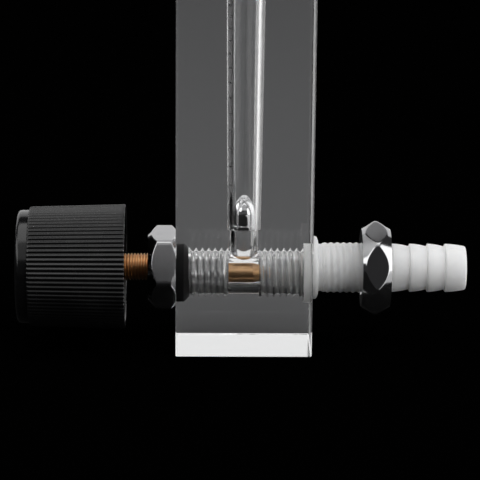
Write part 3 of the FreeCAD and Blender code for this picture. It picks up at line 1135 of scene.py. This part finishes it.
def makeStem():
    # spigot in the knob's hub, fine thread, body with two grooves, cone to a rounded tip
    shape = stemShape
    front = nodeBox("valve_stem")[0][0]
    thread = makeThread(
        start=hubEnd,
        end=shape["bodyStart"],
        radius=shape["threadRadius"],
        depth=shape["threadDepth"],
        pitch=shape["threadPitch"],
        crest=hubEnd,
        rest=shape["threadRest"],
        runOut=shape["threadRunOut"],
        flat=shape["threadFlat"],
    )
    grooves = []
    for start in shape["grooves"]:
        end = start + shape["grooveWidth"]
        grooves += [
            (start, shape["bodyRadius"], shape["grooveRound"]),
            (start, shape["grooveRadius"], shape["grooveRound"]),
            (end, shape["grooveRadius"], shape["grooveRound"]),
            (end, shape["bodyRadius"], shape["grooveRound"]),
        ]
    startRound, endRound = shape["shoulderRounds"]
    corners = [
        (front, 0),
        (front, shape["spigotRadius"], shape["spigotRound"]),
        (hubEnd, shape["spigotRadius"]),
        *threadEnds(thread),
        (shape["bodyStart"], shape["bodyRadius"], fineRound),
        *grooves,
        (shape["shoulderStart"], shape["bodyRadius"], startRound),
        (shape["shoulderEnd"], shape["shoulderRadius"], endRound),
        (shape["tip"], shape["tipRadius"], shape["tipRound"]),
        (shape["tip"], 0),
    ]
    piece = turnedPiece(
        "valveStem", corners, finish["turnedBrass"], "x", portHeight, closed=False, threads=(thread,)
    )
    return dress(piece, "valve_handle", "brass", "valve_stem")


sealShape = {
    "squeeze": 0.03,
    "neckGap": 0.03,
    "fittingFaceGap": 0.02,
    "fittingSealRound": 0.2,
    "plugFaceGap": 0.07,
    "plugSealRound": 0.6,
    "seatRadii": (2.05, 5.05),
    "seatRound": 0.3,
    "bushingFaceGap": 0.04,
    "bushingNeckGap": 0.02,
    "bushingRounds": (0.3, 0.35, 0.3, 0.2),
    "coneSpill": (0.25, 1.35),
    "coneEnd": 0.3,
}
sealWall = blockShape["counterboreRadius"] + sealShape["squeeze"]
ringSlots = {"whiteNylon": "white_nylon", "blackRubber": "black_rubber", "paleGasket": "clear_gasket"}


def ringPiece(name, node, kind, span, radii, rounding, axis="x", height=portHeight):
    # a plain ring between two places along the axis and two radii, with rounded edges
    near, far = span
    inner, outer = radii
    corners = [
        (near, inner, rounding),
        (near, outer, rounding),
        (far, outer, rounding),
        (far, inner, rounding),
    ]
    ring = turnedPiece(name, corners, finish[kind], axis, height)
    return dress(ring, "housing", ringSlots[kind], node)


def makeBushingSeal():
    # rubber ring squeezed between the head, the neck, the counterbore and its cone
    shape = sealShape
    near = frontFace + shape["bushingFaceGap"]
    neck = headShape["neckRadius"] + shape["bushingNeckGap"]
    coneStart = frontFace + blockShape["valveCounterboreDepth"]
    spillPlace, spillDepth = shape["coneSpill"]
    neckRound, wallRound, coneRound, endRound = shape["bushingRounds"]
    corners = [
        (near, neck, neckRound),
        (near, sealWall, wallRound),
        (coneStart, sealWall),
        (portConeEnd() + spillPlace, sealWall - spillDepth, coneRound),
        (portConeEnd() + shape["coneEnd"], neck, endRound),
    ]
    ring = turnedPiece("bushingSeal", corners, finish["blackRubber"], "x", portHeight)
    return dress(ring, "housing", "black_rubber", "bushing_seal")


def makeRings():
    # the needle's seat, the ring under the plug's head and the ring in each back counterbore
    shape = sealShape
    seatLow, seatHigh = nodeBox("valve_seat")
    seatSpan = (seatLow[0], seatHigh[0])
    ringPiece("valveSeat", "valve_seat", "whiteNylon", seatSpan, shape["seatRadii"], shape["seatRound"])
    plugSpan = (
        blockTop - blockShape["counterboreDepth"] + shape["plugFaceGap"],
        blockTop - shape["plugFaceGap"],
    )
    plugRadii = (plugShape["neckRadius"] + shape["neckGap"], sealWall)
    rounding = shape["plugSealRound"]
    ringPiece("plugSeal", "plug_seal", "blackRubber", plugSpan, plugRadii, rounding, "z", 0.0)
    span = (
        backFace - blockShape["counterboreDepth"] + shape["fittingFaceGap"],
        backFace - shape["fittingFaceGap"],
    )
    radii = (fittingShape["neckRadius"] + shape["neckGap"], sealWall)
    rounding = shape["fittingSealRound"]
    for name, height in (("inlet", portHeight), ("outlet", outletHeight)):
        ringPiece(f"{name}Seal", f"{name}_seal", "paleGasket", span, radii, rounding, "x", height)


# Hose fittings

fittingShape = {
    "flangeRadius": 7.5,
    "flangeRim": 1.3,
    "flangeRounds": (0.15, 0.6, 0.35, 0.15),
    "flangeThickness": 1.7,
    "landRadius": 6.5,
    "neckRadius": 5.1,
    "panelRadius": 6.0,
    "panelStart": 2.9,
    "reliefLength": 0.4,
    "reliefDepth": 0.1,
    "neckLength": 19.0,
    "panelDepth": 0.27,
    "panelCrest": 0.5,
    "panelRest": 0.5,
    "panelRunOut": 0.7,
    "barbCrest": 5.75,
    "barbLow": 5.15,
    "barbLength": 4.2,
    "lastBarbLength": 5.2,
    "barbStep": 0.35,
    "barbBulge": 0.11,
    "barbSteps": 7,
    "lowRound": 0.08,
    "crestRound": 0.09,
    "barbs": 4,
    "tipRound": 0.55,
    "mouthRound": 0.3,
    "hoseBore": 3.75,
    "noseBore": 3.3,
    "boreRound": 0.2,
    "noseLeadIn": 0.3,
    "noseChamfer": 0.3,
    "hoseBoreStart": 12.0,
}


def barbCorners(start):
    # each barb rises in a step to its crest, then falls to the low along a shallow curve
    shape = fittingShape
    corners = []
    place = start
    for number in range(shape["barbs"]):
        last = number == shape["barbs"] - 1
        length = shape["lastBarbLength"] if last else shape["barbLength"]
        crest = place + shape["barbStep"]
        end = place + length
        half = (shape["barbCrest"] + shape["barbLow"]) / 2 + shape["barbBulge"]
        middle = ((crest + end) / 2, half)
        fall = arcPath(
            (crest, shape["barbCrest"]), middle, (end, shape["barbLow"]), shape["barbSteps"]
        )
        corners.append((place, shape["barbLow"], shape["lowRound"]))
        corners.append((*fall[0], shape["crestRound"]))
        corners += fall[1:-1]
        if last:
            corners.append((end, shape["barbLow"], shape["tipRound"]))
        place = end
    return corners, place


def makeFitting(name, node, noseEnd, crest, height):
    # nose with the block's thread, neck, flange, panel thread and barbs round an open bore
    shape = fittingShape
    counterbore = backFace - blockShape["counterboreDepth"]
    neckEnd = backFace + shape["neckLength"]
    panelStart = backFace + shape["panelStart"]
    nose = portThread(noseEnd + shape["noseLeadIn"], counterbore, crest, screwGap, rest=1.0)
    noseRoot = threadEnds(nose)[0][1]
    panel = makeThread(
        start=panelStart,
        end=neckEnd,
        radius=shape["panelRadius"],
        depth=shape["panelDepth"],
        pitch=blockShape["threadPitch"],
        crest=panelStart + shape["panelCrest"],
        rest=shape["panelRest"],
        runOut=shape["panelRunOut"],
        rounded=True,
    )
    relief = shape["panelRadius"] - shape["panelDepth"] - shape["reliefDepth"]
    flangeEnd = backFace + shape["flangeThickness"]
    faceRound, rimRound, landRound, rootRound = shape["flangeRounds"]
    barbs, tip = barbCorners(neckEnd)
    corners = [
        (noseEnd, shape["noseBore"], shape["boreRound"]),
        (noseEnd, noseRoot - shape["noseChamfer"], fineRound),
        *threadEnds(nose),
        (counterbore, shape["neckRadius"]),
        (backFace, shape["neckRadius"]),
        (backFace, shape["flangeRadius"], faceRound),
        (backFace + shape["flangeRim"], shape["flangeRadius"], rimRound),
        (flangeEnd, shape["landRadius"], landRound),
        (flangeEnd, relief, rootRound),
        (panelStart - shape["reliefLength"], relief, fineRound),
        *threadEnds(panel),
        *barbs,
        (tip, shape["hoseBore"], shape["mouthRound"]),
        (shape["hoseBoreStart"], shape["hoseBore"], shape["boreRound"]),
        (shape["hoseBoreStart"], shape["noseBore"], fineRound),
    ]
    around = blockShape["around"]
    piece = turnedPiece(
        name, corners, finish["whiteNylon"], "x", height, around=around, threads=(nose, panel)
    )
    return dress(piece, "housing", "white_nylon", node)


makeFitting("inletFitting", "inlet_fitting", inletLow[0], blockShape["backCrest"], portHeight)
makeFitting("outletFitting", "outlet_fitting", outletLow[0], outletCrest, outletHeight)
makeBushingSeal()
makeRings()
print("stage: fittings and rings made")


# Knob and cap

knobShape = {
    "ribs": 82,
    "stepsPerRib": 10,
    "frontRadius": 14.15,
    "backRadius": 14.8,
    "ribHeight": 0.28,
    "ribRunIn": 0.8,
    "ribSharpness": 0.7,
    "wall": 1.7,
    "web": 2.0,
    "recessDepth": 2.5,
    "recessRadius": 11.0,
    "hubRadius": 6.0,
    "hubSetBack": 3.0,
    "screwHole": 1.55,
    "stiffeners": 6,
    "stiffenerWidth": 1.2,
    "stiffenerSetBack": 5.0,
    "stiffenerEdge": 0.1,
    "backEdge": 0.2,
    "spigotGap": 0.05,
    "floorInset": 0.3,
    "runInSteps": 8,
    "gripStart": 2.0,
    "gripSteps": 14,
    "wallSteps": 5,
    "floorSteps": 9,
    "smoothAngle": 40,
}
knobFront, knobBack = (corner[0] for corner in nodeBox("knob"))
webFront = knobFront + knobShape["recessDepth"]
webBack = webFront + knobShape["web"]
hubEnd = knobBack - knobShape["hubSetBack"]


def knobTaper(along):
    # radius = front radius + (back radius - front radius) * share of the length
    share = (along - knobFront) / (knobBack - knobFront)
    return knobShape["frontRadius"] + (knobShape["backRadius"] - knobShape["frontRadius"]) * share


def gripRows(angle):
    # radius = taper - rib depth, where the rib is a rounded square wave of the angle that rises
    # over the run-in as a quarter of an ellipse
    shape = knobShape
    edge = shape["backEdge"]
    sharpness = shape["ribSharpness"]
    wave = np.tanh(np.cos(angle * shape["ribs"]) * sharpness) / math.tanh(sharpness)
    ribDepth = shape["ribHeight"] * (1 - wave) / 2
    runInPlaces = knobFront + shape["ribRunIn"] * np.linspace(0, 1, shape["runInSteps"])
    evenPlaces = np.linspace(knobFront + shape["gripStart"], knobBack - edge, shape["gripSteps"])
    places = np.concatenate([runInPlaces, evenPlaces])[:, None]
    rise = np.clip((places - knobFront) / shape["ribRunIn"], 0, 1)
    runIn = knobTaper(places) - shape["ribHeight"] * (1 - np.sqrt(1 - (1 - rise) ** 2))
    endRadius = knobTaper(knobBack) - ribDepth
    return [
        (places, np.minimum(knobTaper(places) - ribDepth, runIn)),
        (knobBack - edge / 3, endRadius - edge / 3),
        (knobBack, endRadius - edge),
    ]


def floorPlace(angle, radius):
    # place of the hollow's floor: the web's back, raised to the stiffeners' end by a step of the
    # distance from the nearest stiffener's middle plane
    shape = knobShape
    spacing = fullTurn / shape["stiffeners"]
    offAxis = (angle + spacing / 2) % spacing - spacing / 2
    distance = np.abs(radius * np.sin(offAxis))
    halfWidth, edge = shape["stiffenerWidth"] / 2, shape["stiffenerEdge"]
    raised = 1 - smoothStep(distance, halfWidth - edge, halfWidth + edge)
    return webBack + (knobBack - shape["stiffenerSetBack"] - webBack) * raised


def hollowRows(angle):
    # back rim, tapering wall, floor with stiffeners, hub, spigot's and screw's holes, cap's recess
    shape = knobShape
    edge = shape["backEdge"]
    backRadius = shape["backRadius"] - shape["ribHeight"] - shape["wall"]
    frontRadius = shape["frontRadius"] - shape["ribHeight"] - shape["wall"]
    hole = stemShape["spigotRadius"] + shape["spigotGap"]
    rows = [(knobBack, backRadius + edge), (knobBack - edge, backRadius)]
    for share in np.linspace(1 / shape["wallSteps"], 1, shape["wallSteps"]):
        depth = (floorPlace(angle, backRadius) - knobBack) * share
        rows.append((knobBack + depth, backRadius + (frontRadius - backRadius) * share))
    floorStart = frontRadius - shape["floorInset"]
    for radius in np.linspace(floorStart, shape["hubRadius"], shape["floorSteps"]):
        rows.append((floorPlace(angle, radius), radius))
    return rows + [
        (hubEnd - edge, shape["hubRadius"]),
        (hubEnd, shape["hubRadius"] - edge),
        (hubEnd, hole),
        (webBack, hole),
        (webBack, shape["screwHole"]),
        (webFront, shape["screwHole"]),
        (webFront, shape["recessRadius"] - edge),
        (webFront - edge, shape["recessRadius"]),
        (knobFront, shape["recessRadius"]),
    ]


def makeKnob():
    # one sheet of angle and rows: the grip, the hollow, and back to the grip's first row
    shape = knobShape
    around = shape["ribs"] * shape["stepsPerRib"]
    angle = turnAngles(around)
    rows = gripRows(angle) + hollowRows(angle)
    rows.append((knobFront, rows[0][1][:1]))
    places = np.vstack([place + 0 * angle for place, _ in rows])
    radii = np.vstack([radius + 0 * angle for _, radius in rows])
    sheet = turnedSheet(places, radii, "x", portHeight, around)
    smooth = math.radians(shape["smoothAngle"])
    piece = makeMesh("knobGrip", [sheet], [finish["ribbedPlastic"]], angle=smooth)
    return dress(piece, "valve_handle", "black_plastic", "knob")


capShape = {
    "radius": 13.43,
    "rim": 1.0,
    "dishDepth": 0.5,
    "dishRadius": 10.5,
    "dishRound": 0.4,
    "bandRound": 0.12,
    "spigotGap": 0.05,
    "spigotLength": 1.8,
    "spigotWall": 1.4,
    "roof": 1.4,
    "around": 192,
}


def makeCap():
    # smooth band with a round rim and a shallow dish, and a hollow spigot in the knob's recess
    shape = capShape
    front = nodeBox("knob_cap")[0][0]
    spigot = knobShape["recessRadius"] - shape["spigotGap"]
    corners = [
        (front + shape["dishDepth"], 0),
        (front + shape["dishDepth"], shape["dishRadius"] - shape["dishDepth"], shape["dishRound"]),
        (front, shape["dishRadius"], shape["dishRound"]),
        (front, shape["radius"], shape["rim"]),
        (knobFront, shape["radius"], shape["bandRound"]),
        (knobFront, spigot),
        (knobFront + shape["spigotLength"], spigot, fineRound),
        (knobFront + shape["spigotLength"], spigot - shape["spigotWall"], fineRound),
        (knobFront - shape["roof"], spigot - shape["spigotWall"]),
        (knobFront - shape["roof"], 0),
    ]
    around = shape["around"]
    piece = turnedPiece(
        "knobCap", corners, finish["capPlastic"], "x", portHeight, closed=False, around=around
    )
    return dress(piece, "valve_handle", "black_plastic", "knob_cap")


makeStem()
makeKnob()
makeCap()
print("stage: stem and knob made")


# CAD nodes that stay, with their finishes

keptNodes = {
    "float_stop": "polishedSteel",
    "stem_seal_front": "blackRubber",
    "stem_seal_back": "blackRubber",
    "knob_screw": "platedSteel",
}
for node, kind in keptNodes.items():
    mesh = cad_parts[node].data
    mesh.materials.clear()
    mesh.materials.append(finish[kind])


# Floor, light and camera

studio = {
    "floorColour": (0.0004, 0.0004, 0.0004),
    "floorInMetal": (0.012, 0.012, 0.012),
    "floorBehindGlass": (0.108, 0.108, 0.11),
    "glassViewStart": 0.012,
    "floorSize": 6.0,
    "floorGap": 0.1,
    "cardLift": 0.5,
    "cardLow": (0.07, -0.6),
    "cardHigh": (1.0, 0.04),
    "cardColour": (0.8, 0.8, 0.8),
    "worldColour": (0.035, 0.035, 0.036),
    "bounces": {"max_bounces": 32, "glossy_bounces": 20, "transmission_bounces": 24},
}
# lamps: place and aim, width and height in metres, and how bright each looks, where 1 is white
lamps = {
    "frontBox": {
        "place": (0, -0.535, 0.595), "aim": (0, 0, 0), "size": (0.9, 0.52), "radiance": 0.5
    },
    "topBox": {
        "place": (0, 0, 0.78), "aim": (0, 0, 0), "size": (1.2, 0.66), "radiance": 1.7
    },
    "backScreen": {
        "place": (0, 0.9, 0.42), "aim": (0, 0, 0.42), "size": (2.0, 0.82), "radiance": 0.85
    },
    "leftBox": {
        "place": (-0.7, -0.25, 0.52), "aim": (0, 0, 0.52), "size": (1.0, 0.5), "radiance": 2.0
    },
    "rightBox": {
        "place": (0.7, -0.25, 0.33), "aim": (0, 0, 0.33), "size": (1.0, 0.64), "radiance": 2.1
    },
}
photoCamera = {
    "place": (-0.0113, -0.5935, 0.1939),
    "yaw": 1.01,
    "pitch": 15.91,
    "roll": 0.51,
    "lens": 195.2,
    "sensor": 36.0,
    "clipStart": 0.01,
}


def flatSheet(name, low, high, height):
    # a level rectangle between two corners, in metres, which belongs to the studio
    corners = [(low[0], low[1]), (high[0], low[1]), (high[0], high[1]), (low[0], high[1])]
    mesh = bpy.data.meshes.new(name)
    mesh.from_pydata([(*corner, height) for corner in corners], [], [(0, 1, 2, 3)])
    sheet = addObject(name, mesh)
    return sheet


def makeFloor():
    # black floor, a little lighter in polished metal, and dark grey seen through the block
    half = studio["floorSize"] / 2
    floor = flatSheet("studioFloor", (-half, -half), (half, half), -studio["floorGap"] * mm)
    material, tree, shader = startMaterial("floorPaper", {"Roughness": 0.9, "Specular IOR Level": 0.0})
    place = splitVector(tree, objectPlace(tree))
    behind = mathNode(tree, "GREATER_THAN", place["Y"], studio["glassViewStart"])
    rays = tree.nodes.new("ShaderNodeLightPath").outputs
    mask = mathNode(tree, "MULTIPLY", behind, rays["Is Transmission Ray"])
    inMetal = blendColour(
        tree, rays["Is Glossy Ray"], studio["floorColour"], studio["floorInMetal"]
    )
    colour = blendColour(tree, mask, inMetal, studio["floorBehindGlass"])
    tree.links.new(colour, shader.inputs["Base Color"])
    floor.data.materials.append(material)


def makeCard():
    # white card on the floor, out of the picture to the right
    card = flatSheet("whiteCard", studio["cardLow"], studio["cardHigh"], studio["cardLift"] * mm)
    plain = {"Base Color": (*studio["cardColour"], 1.0), "Roughness": 0.8, "Specular IOR Level": 0.2}
    material, _, _ = startMaterial("cardPaper", plain)
    card.data.materials.append(material)


def makeLight(name, place, aim, size, radiance):
    # a flat lamp of that radiance needs pi * area * radiance watts
    lamp = bpy.data.lights.new(name, "AREA")
    lamp.shape = "RECTANGLE"
    lamp.size, lamp.size_y = size
    lamp.energy = math.pi * size[0] * size[1] * radiance
    holder = addObject(name, lamp)
    holder.location = place
    direction = Vector(aim) - Vector(place)
    holder.rotation_euler = direction.to_track_quat("-Z", "Y").to_euler()


def makeCamera():
    # the axes follow from yaw, pitch and roll; the camera looks along its -Z
    view = photoCamera
    yaw, pitch, roll = (math.radians(view[key]) for key in ("yaw", "pitch", "roll"))
    forward = Vector(
        (math.sin(yaw) * math.cos(pitch), math.cos(yaw) * math.cos(pitch), -math.sin(pitch))
    )
    level = Vector((math.cos(yaw), -math.sin(yaw), 0))
    above = level.cross(forward)
    right = math.cos(roll) * level + math.sin(roll) * above
    up = -math.sin(roll) * level + math.cos(roll) * above
    data = bpy.data.cameras.new("photoCamera")
    data.lens = view["lens"]
    data.sensor_width = view["sensor"]
    data.clip_start = view["clipStart"]
    camera = addObject("photoCamera", data)
    turn = Matrix((right, up, -forward)).transposed().to_4x4()
    camera.matrix_world = Matrix.Translation(Vector(view["place"])) @ turn
    bpy.context.scene.camera = camera


def makeWorld():
    # dim grey surroundings
    world = bpy.data.worlds.new("studioWorld")
    world.use_nodes = True
    world.node_tree.nodes["Background"].inputs["Color"].default_value = (*studio["worldColour"], 1.0)
    bpy.context.scene.world = world


makeFloor()
makeCard()
for name, lamp in lamps.items():
    makeLight(name, **lamp)
makeCamera()
makeWorld()
bpy.context.scene.view_settings.view_transform = "Standard"
for setting, count in studio["bounces"].items():
    setattr(bpy.context.scene.cycles, setting, count)
print("stage: studio made")
